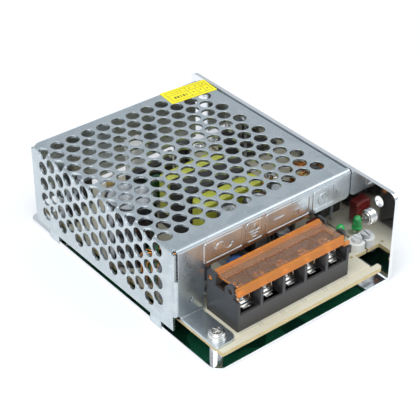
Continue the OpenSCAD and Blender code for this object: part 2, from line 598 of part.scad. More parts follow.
// TO-220 package standing against the wall; t is its middle along Y
module to220(t) translate([xr - base_t - 0.25, t, 0]) {
    // tab
    difference() {
        box(-1.3, 0, -5, 5, zt + 4.4, zt + 19.8);
        rod_x(-3, 1, 0, 24.6, 1.8);
    }
    // moulded body
    box(-4.5, -1.2, -5, 5, zt + 4.4, zt + 13.4);
    for (i = [-1:1]) box(-3.0, -2.4, i*2.54 - 0.4, i*2.54 + 0.4, board_z - 0.6, zt + 4.5);
}
module switching_transistor() color([0.2, 0.2, 0.2]) to220(fet_at);
module output_rectifier() color([0.2, 0.2, 0.2]) to220(rect_at);
module insulating_pads() color("lightgray") for (t = [rect_at, fet_at]) difference() {
    box(xr - base_t - 0.25, xr - base_t, t - 6, t + 6, zt + 3.6, zt + 21);
    rod_x(xr - 4, xr, t, 24.6, 1.8);
}
module transistor_screws() color("silver") for (t = [rect_at, fet_at])
    translate([xr - base_t - 1.55, t, 24.6]) rotate([0, -90, 0]) rotate(15) machine_screw(2.6, 1.8, 1.2, base_t + 1.55, 0.7);

module chip(x, y, l, w, h, pins) {
    box(x - l/2, x + l/2, y - w/2, y + w/2, zt + 0.5, zt + 0.5 + h);
    for (i = [0:pins-1], s = [-1, 1])
        box(x - l/2 + (i + 0.5)*l/pins - 0.3, x - l/2 + (i + 0.5)*l/pins + 0.3,
            s > 0 ? y + w/2 - 0.1 : y - w/2 - 0.7, s > 0 ? y + w/2 + 0.7 : y - w/2 + 0.1, zt, zt + 0.5 + h*0.5);
}
module controller_chip() color([0.1, 0.1, 0.1]) chip(23.4, 28.2, 9.6, 6.4, 3.4, 4);
module optocoupler() color([0.92, 0.92, 0.9]) chip(3, -29, 4.8, 6.4, 3.4, 2);

module fuse() color([0.8, 0.85, 0.85]) {
    rod_x(-33.5, -16.5, -29.6, zt + 4.2, 2.2);
    rod_x(-35, -30, -29.6, zt + 4.2, 2.6);
    rod_x(-20, -15, -29.6, zt + 4.2, 2.6);
}
module fuse_clips() color("silver") for (x = [-33.6, -19.4]) difference() {
    box(x, x + 3, -32.9, -26.3, zt, zt + 6);
    rod_x(x - 1, x + 4, -29.6, zt + 4.2, 2.65);
    box(x - 1, x + 4, -31.6, -27.6, zt + 4.2, zt + 7);
    box(x - 1, x + 4, -32.1, -27.1, zt + 0.5, zt + 4.2);
}

module ceramic_resistor() color("white") {
    up(zt + 1, zt + 21) rrect(-5.4, 1, 33.8, 40.2, 0.5);
    for (x = [-4, -0.4]) rod_z(x, 37, board_z - 0.6, zt + 1.1, 0.4);
}
// resistors that stand on end
module power_resistors() color("tan") for (p = resistors) translate([p[0], p[1], 0]) {
    rod_z(0, 0, zt + 0.6, zt + 8.6, 1.9);
    rod_z(0, 0, board_z - 0.6, zt + 10, 0.35);
    translate([0, 0, zt + 9.65]) rotate([0, 90, 0]) cylinder(h = 3.2, r = 0.35);
    rod_z(3.2, 0, board_z - 0.6, zt + 10, 0.35);
}

chassis();
cover();
cover_screw();
cover_washer();
standoffs();
board_screws();
circuit_board();
terminal_block();
terminal_plates();
clamp_1();
clamp_2();
clamp_3();
clamp_4();
clamp_5();
terminal_screw_1();
terminal_screw_2();
terminal_screw_3();
terminal_screw_4();
terminal_screw_5();
terminal_lid();
indicator_lamp();
lamp_leads();
trimmer_body();
trimmer_rotor();
wall_screw();
rating_label();
transformer_core();
transformer_bobbin();
transformer_winding();
line_choke_core();
line_choke_winding();
x_capacitor();
disc_capacitor();
film_capacitor();
bulk_capacitor();
output_capacitors();
small_capacitors();
output_choke_core();
output_choke_winding();
bridge_rectifier();
fuse();
fuse_clips();
thermistor();
switching_transistor();
output_rectifier();
insulating_pads();
transistor_screws();
controller_chip();
optocoupler();
ceramic_resistor();
power_resistors();
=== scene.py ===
import bpy, bmesh, math, json, random
from mathutils import Vector, Matrix


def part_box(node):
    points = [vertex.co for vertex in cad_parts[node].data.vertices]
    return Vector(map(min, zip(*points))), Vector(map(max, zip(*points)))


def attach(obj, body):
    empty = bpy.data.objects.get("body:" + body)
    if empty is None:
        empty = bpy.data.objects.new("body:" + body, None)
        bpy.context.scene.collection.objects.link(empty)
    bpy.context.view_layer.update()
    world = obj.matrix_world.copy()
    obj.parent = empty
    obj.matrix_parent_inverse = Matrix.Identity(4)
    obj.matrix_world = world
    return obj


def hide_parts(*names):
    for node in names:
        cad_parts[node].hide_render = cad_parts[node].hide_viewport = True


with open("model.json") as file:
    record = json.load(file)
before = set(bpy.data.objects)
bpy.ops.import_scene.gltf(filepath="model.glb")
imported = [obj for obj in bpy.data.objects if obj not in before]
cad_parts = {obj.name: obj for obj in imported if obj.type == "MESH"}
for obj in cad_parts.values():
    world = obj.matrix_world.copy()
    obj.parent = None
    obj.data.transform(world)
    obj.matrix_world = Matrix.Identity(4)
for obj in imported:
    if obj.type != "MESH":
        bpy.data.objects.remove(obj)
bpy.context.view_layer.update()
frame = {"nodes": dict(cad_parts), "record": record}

N = frame["nodes"]
random.seed(7)
MM = 0.001
BODY = {}
for _b, _l in frame["record"]["behaviour"]["bodies"].items():
    for _n in _l:
        BODY[_n] = _b
scene = bpy.context.scene

# ------------------------------------------------------------------ materials


class G:
    """A small helper for building one node material."""

    def __init__(s, name):
        s.m = bpy.data.materials.new(name)
        s.m.use_nodes = True
        s.nt = s.m.node_tree
        s.b = s.nt.nodes["Principled BSDF"]
        s._pos = None
        s._geo = None

    def n(s, kind, **kw):
        x = s.nt.nodes.new(kind)
        for k, v in kw.items():
            setattr(x, k, v)
        return x

    def put(s, node, key, val):
        i = node.inputs[key]
        if isinstance(val, bpy.types.NodeSocket):
            s.nt.links.new(val, i)
        else:
            if isinstance(val, (tuple, list)) and len(val) == 3 and i.type == "RGBA":
                val = (*val, 1)
            i.default_value = val

    def pos(s):
        if s._pos is None:
            s._pos = s.n("ShaderNodeTexCoord").outputs["Object"]
        return s._pos

    def geo(s):
        if s._geo is None:
            s._geo = s.n("ShaderNodeNewGeometry")
        return s._geo

    def xyz(s, vec=None):
        x = s.n("ShaderNodeSeparateXYZ")
        s.put(x, 0, vec if vec is not None else s.pos())
        return x.outputs

    def mapping(s, loc=(0, 0, 0), rot=(0, 0, 0), scale=(1, 1, 1), vec=None):
        x = s.n("ShaderNodeMapping")
        s.put(x, 0, vec if vec is not None else s.pos())
        x.inputs["Location"].default_value = loc
        x.inputs["Rotation"].default_value = rot
        x.inputs["Scale"].default_value = scale
        return x.outputs[0]

    def noise(s, scale, detail=3, rough=0.5, vec=None, dist=0.0):
        x = s.n("ShaderNodeTexNoise")
        s.put(x, "Vector", vec if vec is not None else s.pos())
        x.inputs["Scale"].default_value = scale
        x.inputs["Detail"].default_value = detail
        x.inputs["Roughness"].default_value = rough
        x.inputs["Distortion"].default_value = dist
        return x.outputs[0]

    def voronoi(s, scale, out="Color", feature="F1", vec=None):
        x = s.n("ShaderNodeTexVoronoi", feature=feature)
        s.put(x, "Vector", vec if vec is not None else s.pos())
        x.inputs["Scale"].default_value = scale
        return x.outputs[out]

    def math(s, op, a, b=None, c=None, clamp=False):
        x = s.n("ShaderNodeMath", operation=op, use_clamp=clamp)
        s.put(x, 0, a)
        if b is not None:
            s.put(x, 1, b)
        if c is not None:
            s.put(x, 2, c)
        return x.outputs[0]

    def ramp(s, fac, *stops):
        x = s.n("ShaderNodeValToRGB")
        s.put(x, 0, fac)
        e = x.color_ramp.elements
        while len(e) < len(stops):
            e.new(0.5)
        for i, (p, c) in enumerate(stops):
            e[i].position = p
            e[i].color = (*c, 1) if isinstance(c, (tuple, list)) else (c, c, c, 1)
        return x.outputs[0]

    def range(s, fac, a, b, c, d):
        x = s.n("ShaderNodeMapRange")
        s.put(x, 0, fac)
        for i, v in enumerate((a, b, c, d)):
            x.inputs[i + 1].default_value = v
        return x.outputs[0]

    def mix(s, fac, a, b, blend="MIX"):
        x = s.n("ShaderNodeMix", data_type="RGBA", blend_type=blend)
        s.put(x, 0, fac)
        s.put(x, 6, a)
        s.put(x, 7, b)
        return x.outputs[2]

    def band(s, v, c, w):
        return s.math("COMPARE", v, c, w)

    def both(s, *l):
        r = l[0]
        for x in l[1:]:
            r = s.math("MULTIPLY", r, x)
        return r

    def either(s, *l):
        r = l[0]
        for x in l[1:]:
            r = s.math("MAXIMUM", r, x)
        return r

    def edge(s, a=0.51, b=0.60):
        return s.range(s.geo().outputs["Pointiness"], a, b, 0.0, 1.0)

    def bump(s, h, strength=0.3, dist=0.0001):
        x = s.n("ShaderNodeBump")
        x.inputs["Strength"].default_value = strength
        x.inputs["Distance"].default_value = dist
        s.put(x, "Height", h)
        return x.outputs[0]

    def out(s, **kw):
        names = dict(base="Base Color", rough="Roughness", metal="Metallic", spec="Specular IOR Level", ior="IOR",
                     coat="Coat Weight", coat_rough="Coat Roughness", trans="Transmission Weight", normal="Normal",
                     sss="Subsurface Weight")
        for k, v in kw.items():
            s.put(s.b, names[k], v)
        return s.m


def mat_metal(name, dark, light, r0, r1, spangle=0.0, grain=None, edge_wear_and_sheen=0.25, bump=0.12):
    g = G(name)
    soft = g.noise(90, 3)
    fine = g.noise(1400, 4, 0.6)
    f = g.math("MULTIPLY_ADD", soft, 0.7, g.math("MULTIPLY", fine, 0.3))
    if spangle:
        v = g.xyz(g.voronoi(330))[0]
        f = g.math("ADD", g.math("MULTIPLY", f, 1 - spangle), g.math("MULTIPLY", v, spangle))
    base = g.ramp(f, (0.25, dark), (0.75, light))
    # edges lightened through pointiness: partly wear, partly a painted highlight along the edges
    metal_wear_and_sheen_tint = tuple(min(1, c * 1.22) for c in light)
    base = g.mix(g.math("MULTIPLY", g.edge(), edge_wear_and_sheen), base, metal_wear_and_sheen_tint)
    gr = g.noise(700, 3, 0.6, vec=g.mapping(scale=grain)) if grain else fine
    rough = g.range(g.math("MULTIPLY_ADD", gr, 0.6, g.math("MULTIPLY", soft, 0.4)), 0.3, 0.7, r0, r1)
    h = g.math("ADD", g.math("MULTIPLY", gr, 0.6), g.math("MULTIPLY", soft, 0.5))
    return g.out(base=base, metal=1.0, rough=rough, normal=g.bump(h, bump, 0.00006))


def mat_plastic(name, dark, light, r0, r1, scale=1500, bump=0.2, edge_wear_and_sheen=0.2, coat=0.0, edge_wear_and_sheen_col=None):
    g = G(name)
    soft = g.noise(140, 3)
    fine = g.noise(scale, 4, 0.6)
    base = g.ramp(g.math("MULTIPLY_ADD", soft, 0.6, g.math("MULTIPLY", fine, 0.4)), (0.3, dark), (0.7, light))
    # edges lightened through pointiness: partly wear, partly a painted highlight along the edges
    plastic_wear_and_sheen_tint = edge_wear_and_sheen_col or tuple(min(1, c * 1.5 + 0.03) for c in light)
    base = g.mix(g.math("MULTIPLY", g.edge(), edge_wear_and_sheen), base, plastic_wear_and_sheen_tint)
    rough = g.range(fine, 0.3, 0.7, r0, r1)
    kw = {}
    if coat:
        kw.update(coat=coat, coat_rough=0.08)
    return g.out(base=base, rough=rough, normal=g.bump(g.math("ADD", fine, soft), bump, 0.00005), **kw)


galv = mat_metal("galvanised", (0.50, 0.555, 0.585), (0.60, 0.65, 0.68), 0.24, 0.36, spangle=0.45, edge_wear_and_sheen=0.5)
mirror = mat_metal("mirror_sheet", (0.80, 0.81, 0.83), (0.89, 0.90, 0.92), 0.05, 0.12, grain=(8, 0.5, 8), edge_wear_and_sheen=0.3, bump=0.03)
plated = mat_metal("nickel", (0.66, 0.66, 0.65), (0.80, 0.80, 0.78), 0.12, 0.26, edge_wear_and_sheen=0.4, bump=0.08)
tinned = mat_metal("tinned", (0.66, 0.66, 0.64), (0.80, 0.80, 0.77), 0.18, 0.34, edge_wear_and_sheen=0.3)
tab_metal = mat_metal("tab", (0.55, 0.54, 0.52), (0.70, 0.69, 0.66), 0.25, 0.4)
can_top = mat_metal("can_top", (0.62, 0.63, 0.64), (0.76, 0.77, 0.78), 0.22, 0.36)
solder = mat_metal("solder", (0.60, 0.61, 0.62), (0.78, 0.79, 0.80), 0.12, 0.3, bump=0.3)
copper = mat_metal("enamel_wire", (0.50, 0.19, 0.05), (0.72, 0.32, 0.10), 0.16, 0.3, edge_wear_and_sheen=0.3)
black = mat_plastic("black_moulding", (0.019, 0.019, 0.022), (0.030, 0.030, 0.034), 0.34, 0.48, edge_wear_and_sheen=0.35,
                    edge_wear_and_sheen_col=(0.10, 0.10, 0.105))
epoxy = mat_plastic("black_epoxy", (0.016, 0.016, 0.017), (0.035, 0.034, 0.033), 0.45, 0.6, scale=3000, bump=0.4)
ferrite = mat_plastic("ferrite", (0.020, 0.020, 0.022), (0.045, 0.045, 0.048), 0.5, 0.7, scale=2600, bump=0.5)
white = mat_plastic("white_moulding", (0.72, 0.72, 0.69), (0.80, 0.80, 0.77), 0.3, 0.42, edge_wear_and_sheen=0.4, edge_wear_and_sheen_col=(0.9, 0.9, 0.88))
grey_rotor = mat_plastic("grey_rotor", (0.33, 0.35, 0.37), (0.42, 0.44, 0.46), 0.3, 0.42, edge_wear_and_sheen=0.9, edge_wear_and_sheen_col=(0.92, 0.92, 0.90))
ring_green = mat_plastic("ring_green", (0.045, 0.13, 0.06), (0.07, 0.19, 0.09), 0.35, 0.5, bump=0.4)
ring_pale = mat_plastic("ring_pale", (0.62, 0.55, 0.26), (0.72, 0.66, 0.36), 0.35, 0.5, bump=0.4)
grey_box = mat_plastic("grey_case", (0.17, 0.19, 0.21), (0.22, 0.24, 0.27), 0.3, 0.42)
blue = mat_plastic("blue_dip", (0.015, 0.09, 0.36), (0.03, 0.15, 0.50), 0.15, 0.3, scale=500, bump=0.5, coat=0.5)
red = mat_plastic("red_dip", (0.16, 0.012, 0.010), (0.26, 0.022, 0.018), 0.15, 0.3, scale=500, bump=0.5, coat=0.5)
green_dip = mat_plastic("green_dip", (0.006, 0.055, 0.022), (0.010, 0.09, 0.035), 0.2, 0.34, scale=500, bump=0.5, coat=0.4)
sleeve = mat_plastic("sleeve", (0.012, 0.012, 0.016), (0.022, 0.022, 0.028), 0.16, 0.28, scale=260, bump=0.25, coat=0.3)
stripe = mat_plastic("sleeve_stripe", (0.33, 0.34, 0.36), (0.40, 0.41, 0.43), 0.2, 0.32, scale=260, bump=0.2)
ink_grey = mat_plastic("grey_ink", (0.30, 0.31, 0.30), (0.40, 0.41, 0.39), 0.4, 0.55)
bung = mat_plastic("rubber_bung", (0.02, 0.02, 0.02), (0.04, 0.04, 0.04), 0.6, 0.75)
ceramic = mat_plastic("ceramic", (0.74, 0.73, 0.69), (0.84, 0.83, 0.80), 0.55, 0.7, scale=2200, bump=0.5)
tan = mat_plastic("tan_dip", (0.48, 0.34, 0.18), (0.58, 0.43, 0.25), 0.25, 0.38, scale=700, bump=0.4)
pad_grey = mat_plastic("silicone", (0.30, 0.33, 0.35), (0.38, 0.41, 0.43), 0.55, 0.7)
band_cols = [mat_plastic("band_%d" % i, tuple(c * 0.8 for c in col), col, 0.25, 0.38) for i, col in enumerate(
    [(0.55, 0.30, 0.03), (0.35, 0.02, 0.02), (0.02, 0.02, 0.02), (0.60, 0.46, 0.12)])]


def make_board():
    g = G("board_top")
    x, y, z = g.xyz()
    soft = g.noise(60, 4)
    weave = g.math("MULTIPLY", g.math("SINE", g.math("MULTIPLY", x, 2 * math.pi / 0.00055)),
                   g.math("SINE", g.math("MULTIPLY", y, 2 * math.pi / 0.00055)))
    base = g.ramp(soft, (0.3, (0.62, 0.58, 0.45)), (0.7, (0.70, 0.67, 0.54)))
    base = g.mix(g.range(weave, -1, 1, 0.0, 0.10), base, (0.48, 0.45, 0.34))
    # fine comb of lines in front of the terminal block, fading towards the edge of the board
    comb = g.range(g.math("SINE", g.math("MULTIPLY", x, 2 * math.pi / 0.00055)), 0.35, 0.85, 0.0, 1.0)
    reach = g.range(g.noise(420, 2, 0.5, vec=g.mapping(scale=(1, 0.02, 1))), 0.35, 0.7, -0.0512, -0.0526)
    zone = g.range(g.math("SUBTRACT", y, reach), -0.0004, 0.0009, 0.0, 1.0)
    front = g.math("LESS_THAN", y, -0.0501)
    inx = g.both(g.math("GREATER_THAN", x, -0.0263), g.math("LESS_THAN", x, 0.0222))
    base = g.mix(g.math("MULTIPLY", g.both(comb, zone, front, inx), 0.42), base, (0.24, 0.25, 0.24))
    base = g.mix(g.math("MULTIPLY", g.both(comb, front), 0.10), base, (0.40, 0.40, 0.36))
    # darker pairs of ticks, one pair for each pole
    ph = g.math("FRACT", g.math("DIVIDE", g.math("ADD", x, 0.02115), 0.0095))
    ticks = g.either(g.band(ph, 0.30, 0.012), g.band(ph, 0.42, 0.012))
    tz = g.both(g.math("GREATER_THAN", y, -0.0522), front, inx)
    base = g.mix(g.math("MULTIPLY", g.both(ticks, tz), 0.5), base, (0.10, 0.11, 0.11))
    rough = g.range(g.noise(900, 3), 0.3, 0.7, 0.42, 0.58)
    h = g.math("ADD", g.math("MULTIPLY", weave, 0.3), g.noise(1200, 3))
    top = g.out(base=base, rough=rough, normal=g.bump(h, 0.25, 0.00003), spec=0.35)
    g = G("board_under")
    n1 = g.noise(160, 2)
    tracks = g.range(g.noise(110, 0.0, 0.5), 0.48, 0.50, 0.0, 1.0)
    base = g.mix(tracks, (0.008, 0.07, 0.038), (0.016, 0.15, 0.075))
    under = g.out(base=base, rough=g.range(n1, 0.3, 0.7, 0.12, 0.24), coat=0.5,
                  normal=g.bump(tracks, 0.3, 0.00003))
    g = G("board_edge")
    lam = g.noise(500, 2, 0.5, vec=g.mapping(scale=(0.6, 0.6, 8)))
    base = g.ramp(lam, (0.3, (0.48, 0.36, 0.15)), (0.7, (0.74, 0.62, 0.36)))
    edge = g.out(base=base, rough=g.range(lam, 0.3, 0.7, 0.5, 0.7), normal=g.bump(lam, 0.5, 0.00005))
    return top, under, edge


board_top, board_under, board_edge = make_board()


def make_lid():
    g = G("orange_clear")
    x, y, z = g.xyz()
    soft = g.noise(120, 3)
    # painted glow: the rims, the front skirt and the edges get a brighter orange colour and less transmission, standing
    # in for the light that runs along the sheet
    rim = g.either(g.math("LESS_THAN", y, -0.04835), g.math("GREATER_THAN", y, -0.0374), g.edge(0.505, 0.56))
    base = g.mix(rim, g.ramp(soft, (0.3, (0.90, 0.55, 0.30)), (0.7, (0.95, 0.62, 0.36))), (1.0, 0.36, 0.03))
    trans = g.range(rim, 0.0, 1.0, 0.97, 0.62)
    rough = g.range(g.noise(500, 2), 0.3, 0.7, 0.02, 0.06)
    return g.out(base=base, rough=rough, trans=trans, ior=1.49, normal=g.bump(g.noise(300, 2), 0.05, 0.00005))


lid_mat = make_lid()


def make_led():
    g = G("led_green")
    soft = g.noise(300, 3)
    base = g.ramp(soft, (0.3, (0.05, 0.62, 0.16)), (0.7, (0.10, 0.80, 0.26)))
    return g.out(base=base, rough=g.range(soft, 0.3, 0.7, 0.05, 0.14), trans=0.45, ior=1.5,
                 normal=g.bump(soft, 0.05, 0.00005))


led_mat = make_led()


def make_glass():
    g = G("fuse_glass")
    soft = g.noise(300, 3)
    return g.out(base=g.ramp(soft, (0.3, (0.86, 0.92, 0.92)), (0.7, (0.93, 0.97, 0.97))),
                 rough=g.range(soft, 0.3, 0.7, 0.02, 0.06), trans=0.95, ior=1.5, normal=g.bump(soft, 0.05, 0.00003))


glass = make_glass()


def make_tape():
    g = G("yellow_tape")
    x, y, z = g.xyz()
    soft = g.noise(130, 4)
    wrap = g.noise(60, 3, 0.5, vec=g.mapping(scale=(1, 6, 1)))
    base = g.ramp(g.math("MULTIPLY_ADD", soft, 0.5, g.math("MULTIPLY", wrap, 0.5)),
                  (0.3, (0.52, 0.55, 0.05)), (0.7, (0.72, 0.76, 0.12)))
    seam = g.either(g.band(z, 0.0269, 0.00012), g.band(z, 0.0187, 0.0001), g.band(x, 0.0061, 0.00012))
    base = g.mix(g.math("MULTIPLY", seam, 0.5), base, (0.25, 0.26, 0.03))
    return g.out(base=base, rough=g.range(soft, 0.3, 0.7, 0.22, 0.38), coat=0.25,
                 normal=g.bump(g.math("ADD", wrap, g.math("MULTIPLY", seam, -0.8)), 0.5, 0.0002))


tape = make_tape()


def make_label():
    g = G("label")
    # into the label's own axes: turned back by 5 degrees about its middle
    x, y, z = g.xyz()
    dx = g.math("SUBTRACT", x, 0.027)
    dy = g.math("SUBTRACT", y, 0.0431)
    c, s_ = math.cos(math.radians(5)), math.sin(math.radians(5))
    u = g.math("MULTIPLY", g.math("SUBTRACT", g.math("MULTIPLY", dx, c), g.math("MULTIPLY", dy, s_)), 1000)
    v = g.math("MULTIPLY", g.math("ADD", g.math("MULTIPLY", dx, s_), g.math("MULTIPLY", dy, c)), 1000)
    w = 0.085

    def hline(v0, u0, u1):
        return g.both(g.band(v, v0, w), g.band(u, (u0 + u1) / 2, (u1 - u0) / 2))

    def vline(u0, v0, v1):
        return g.both(g.band(u, u0, w), g.band(v, (v0 + v1) / 2, (v1 - v0) / 2))

    def blob(u0, v0, a, b):
        return g.both(g.band(u, u0, a), g.band(v, v0, b))

    ink = [hline(3.4, -8.6, 8.8), hline(-3.4, -8.6, 8.8), vline(-8.6, -3.4, 3.4), vline(8.8, -3.4, 3.4),
           hline(0.9, -8.6, 8.8), vline(0.0, -3.4, 3.4), vline(3.2, -3.4, 0.9), vline(6.2, -3.4, 3.4)]
    # plain blocks in the cells
    for i, (a, b) in enumerate([(0.42, 0.75), (0.42, 0.75), (0.2, 0.75), (0.42, 0.75), (0.2, 0.75)]):
        ink.append(blob(-6.6 + 1.25 * i, -1.3, a, b))
    for i in range(4):
        ink.append(blob(-6.2 + 1.3 * i, 2.1, 0.4, 0.16))
    for u0, v0 in ((1.6, 2.1), (4.7, -1.0), (1.6, -1.0), (7.5, 2.1), (7.5, -1.6), (4.4, 2.2)):
        ink.append(blob(u0, v0, 0.32, 0.3))
    soft = g.noise(120, 3)
    base = g.ramp(soft, (0.3, (0.86, 0.74, 0.0)), (0.7, (0.92, 0.82, 0.01)))
    base = g.mix(g.math("MULTIPLY", g.either(*ink), 0.88), base, (0.03, 0.03, 0.015))
    return g.out(base=base, rough=g.range(g.noise(700, 3), 0.3, 0.7, 0.35, 0.48), normal=g.bump(soft, 0.25, 0.0002))


label_mat = make_label()

# ------------------------------------------------------------------ geometry helpers


def from_cad(node, width, mats, pick=None, segs=2, ang=35, dis=0.6):
    """A bevelled copy of a CAD node, with a material picked for each face."""
    o = N[node]
    bm = bmesh.new()
    bm.from_mesh(o.data)
    bmesh.ops.remove_doubles(bm, verts=bm.verts, dist=2e-6)
    bmesh.ops.dissolve_limit(bm, angle_limit=math.radians(dis), verts=bm.verts, edges=bm.edges)
    me = bpy.data.meshes.new(node + "_v")
    bm.to_mesh(me)
    bm.free()
    ob = bpy.data.objects.new(node + "_v", me)
    scene.collection.objects.link(ob)
    me.materials.clear()
    for m in mats:
        me.materials.append(m)
    for p in me.polygons:
        p.material_index = pick(Vector(p.center) * 1000, p.normal) if pick else 0
        p.use_smooth = True
    if width:
        b = ob.modifiers.new("b", "BEVEL")
        b.width = width
        b.segments = segs
        b.limit_method = "ANGLE"
        b.angle_limit = math.radians(ang)
        b.use_clamp_overlap = False
        b.miter_outer = "MITER_SHARP"
    w = ob.modifiers.new("w", "WEIGHTED_NORMAL")
    w.keep_sharp = False
    w.weight = 80
    dg = bpy.context.evaluated_depsgraph_get()
    m2 = bpy.data.meshes.new_from_object(ob.evaluated_get(dg))
    ob.modifiers.clear()
    ob.data = m2
    # keep every bevel inside the node's own box
    lo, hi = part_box(node)
    for v in m2.vertices:
        for i in range(3):
            v.co[i] = min(max(v.co[i], lo[i]), hi[i])
    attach(ob, BODY[node])
    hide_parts(node)
    return ob


class MB:
    """Collects a mesh in millimetres."""

    def __init__(s):
        s.v, s.f, s.m = [], [], []

    def add(s, verts, faces, mat=0, xf=None):
        k = len(s.v)
        for p in verts:
            p = Vector(p)
            s.v.append(xf @ p if xf else p)
        for i, f in enumerate(faces):
            s.f.append([k + j for j in f])
            s.m.append(mat[i] if isinstance(mat, list) else mat)

    def lathe(s, prof, segs=32, xf=None, mat=0, pick=None):
        """prof is a list of (r, z) from one end on the axis to the other."""
        closed = prof[0] == prof[-1]
        use = prof[:-1] if closed else prof
        verts, idx = [], []
        for r, z in use:
            if r < 1e-9:
                idx.append([len(verts)] * segs)
                verts.append((0, 0, z))
            else:
                idx.append(list(range(len(verts), len(verts) + segs)))
                for j in range(segs):
                    a = 2 * math.pi * j / segs
                    verts.append((r * math.cos(a), r * math.sin(a), z))
        if closed:
            idx.append(idx[0])
        faces, ms = [], []
        for i in range(len(prof) - 1):
            for j in range(segs):
                q = [idx[i][j], idx[i][(j + 1) % segs], idx[i + 1][(j + 1) % segs], idx[i + 1][j]]
                u = []
                for t in q:
                    if t not in u:
                        u.append(t)
                if len(u) > 2:
                    faces.append(u)
                    ms.append(pick(i, (j + 0.5) * 360 / segs) if pick else mat)
        s.add(verts, faces, ms, xf)

    def tube(s, pts, r, segs=10, mat=0, closed=False, xf=None):
        pts = [Vector(p) for p in pts]
        n = len(pts)
        verts, faces = [], []
        prev = None
        for i, p in enumerate(pts):
            a = pts[(i - 1) % n] if closed or i else p
            b = pts[(i + 1) % n] if closed or i < n - 1 else p
            t = (b - a).normalized()
            if prev is None:
                side = t.cross(Vector((0.13, 0.97, 0.21)))
                if side.length < 0.2:
                    side = t.cross(Vector((1, 0, 0)))
            else:
                side = prev - t * prev.dot(t)
            side.normalize()
            prev = side
            o = t.cross(side)
            for j in range(segs):
                c = 2 * math.pi * j / segs
                verts.append(p + (side * math.cos(c) + o * math.sin(c)) * r)
        for i in range(n if closed else n - 1):
            k = (i + 1) % n
            for j in range(segs):
                m = (j + 1) % segs
                faces.append((i * segs + j, k * segs + j, k * segs + m, i * segs + m))
        if not closed:
            faces.append(tuple(range(segs)))
            faces.append(tuple((n - 1) * segs + j for j in reversed(range(segs))))
        s.add(verts, faces, mat, xf)

    def box(s, x0, x1, y0, y1, z0, z1, bev=0.0, mat=0, xf=None, segs=1):
        bm = bmesh.new()
        bmesh.ops.create_cube(bm, size=1)
        for v in bm.verts:
            v.co = Vector(((x0 + x1) / 2 + v.co.x * (x1 - x0), (y0 + y1) / 2 + v.co.y * (y1 - y0),
                           (z0 + z1) / 2 + v.co.z * (z1 - z0)))
        if bev:
            bmesh.ops.bevel(bm, geom=list(bm.edges), offset=bev, segments=segs, affect="EDGES", profile=0.5)
        bm.verts.index_update()
        s.add([v.co.copy() for v in bm.verts], [[v.index for v in f.verts] for f in bm.faces], mat, xf)
        bm.free()

    def obj(s, name, mats, body, nodes=(), at=(0, 0, 0), sharp=38):
        me = bpy.data.meshes.new(name)
        me.from_pydata([p * MM for p in s.v], [], s.f)
        for m in mats:
            me.materials.append(m)
        for p, m in zip(me.polygons, s.m):
            p.material_index = m
        bm = bmesh.new()
        bm.from_mesh(me)
        bmesh.ops.recalc_face_normals(bm, faces=bm.faces)
        bm.to_mesh(me)
        bm.free()
        me.shade_smooth()
        me.set_sharp_from_angle(angle=math.radians(sharp))
        ob = bpy.data.objects.new(name, me)
        ob.location = Vector(at) * MM
        scene.collection.objects.link(ob)
        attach(ob, body)
        if nodes:
            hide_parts(*nodes)
        return ob


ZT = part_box("circuit_board")[1][2] * 1000
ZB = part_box("circuit_board")[0][2] * 1000

# ------------------------------------------------------------------ sheet metal, board, terminals

from_cad("cover", 1.0e-4, [galv])
from_cad("chassis", 1.5e-4, [mirror])
from_cad("circuit_board", 6e-5, [board_top, board_under, board_edge],
         lambda c, n: 0 if n.z > 0.6 else (1 if n.z < -0.6 else 2), segs=1)
from_cad("terminal_block", 1.5e-4, [black])
from_cad("terminal_lid", 1.2e-4, [lid_mat])
for n, w in (("terminal_plates", 1.2e-4), ("standoffs", 1e-4), ("board_screws", 1e-4), ("cover_screw", 1e-4),
             ("wall_screw", 1e-4), ("transistor_screws", 1e-4), ("cover_washer", 0.8e-4)):
    from_cad(n, w, [plated])
for i in range(1, 6):
    from_cad("clamp_%d" % i, 1.2e-4, [plated])
    from_cad("terminal_screw_%d" % i, 1e-4, [plated])
from_cad("indicator_lamp", 1e-4, [led_mat])
N["lamp_leads"].data.materials.clear()
N["lamp_leads"].data.materials.append(tinned)
N["insulating_pads"].data.materials.clear()
N["insulating_pads"].data.materials.append(pad_grey)
from_cad("trimmer_body", 1.2e-4, [white])
from_cad("trimmer_rotor", 1.6e-4, [grey_rotor])
from_cad("rating_label", 3e-5, [label_mat], segs=1)

# ------------------------------------------------------------------ transformer and chokes

from_cad("transformer_core", 2.5e-4, [ferrite])
from_cad("transformer_bobbin", 2e-4, [black, tinned], lambda c, n: 1 if c.z < ZT - 0.05 else 0)
from_cad("transformer_winding", 7e-4, [tape], segs=4, ang=50)


def loop(w, h, r, k=5):
    """A rounded rectangle round the origin in the XZ plane."""
    pts = []
    for cx, cz, a0 in ((w / 2 - r, h / 2 - r, 0), (-w / 2 + r, h / 2 - r, 90), (-w / 2 + r, -h / 2 + r, 180),
                       (w / 2 - r, -h / 2 + r, 270)):
        for i in range(k + 1):
            a = math.radians(a0 + 90 * i / k)
            pts.append((cx + r * math.cos(a), 0, cz + r * math.sin(a)))
    return pts


